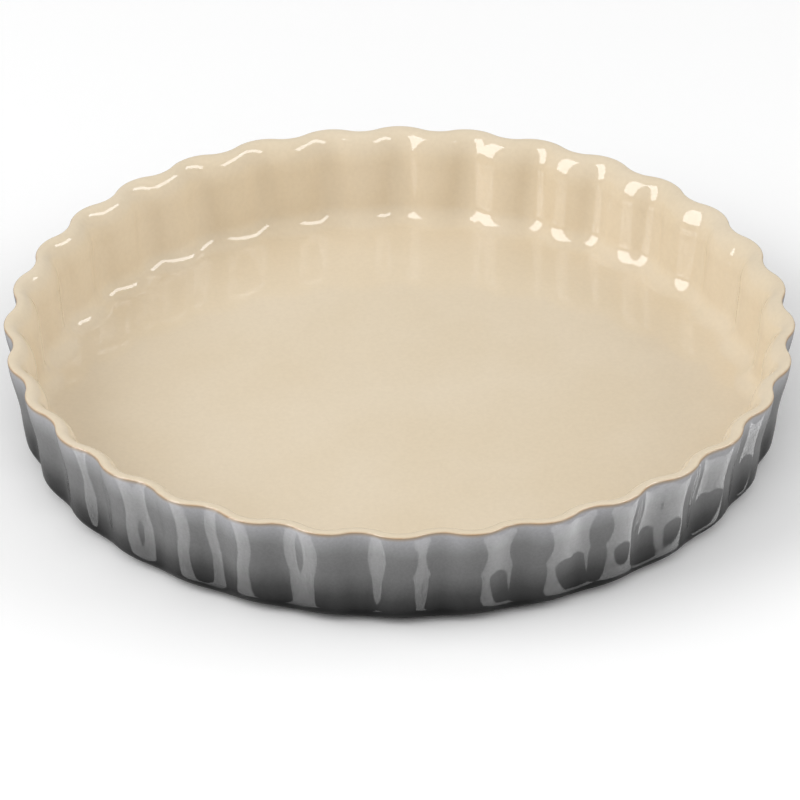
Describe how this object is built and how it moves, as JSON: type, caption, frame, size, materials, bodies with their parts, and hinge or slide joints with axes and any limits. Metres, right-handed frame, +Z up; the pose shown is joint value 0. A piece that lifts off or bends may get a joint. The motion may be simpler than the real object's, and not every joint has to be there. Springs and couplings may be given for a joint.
{
  "type": "pie dish",
  "caption": "Round fluted pie dish in glazed stoneware, with a flared scalloped wall, a flat floor, a rounded rim and a bare foot ring.",
  "frame": {"origin": "centre of the foot ring's underside, on the surface that the dish stands on", "axes": "+Z up along the dish's axis; +X and +Y each pass through the crest of a flute, and every quarter turn is alike"},
  "size_m": [0.2796, 0.2796, 0.0415],
  "materials": {
    "cream_glazed_stoneware": "gloss cream glaze over buff stoneware, bare clay on the foot ring",
    "grey_glaze": "gloss grey glaze, pale at the rim and near black at the foot",
    "base_glaze": "gloss charcoal glaze"
  },
  "bodies": {
    "root": {"stoneware_dish": "cream_glazed_stoneware", "exterior_glaze": "grey_glaze", "underside_glaze": "base_glaze"}
  },
  "joints": []
}
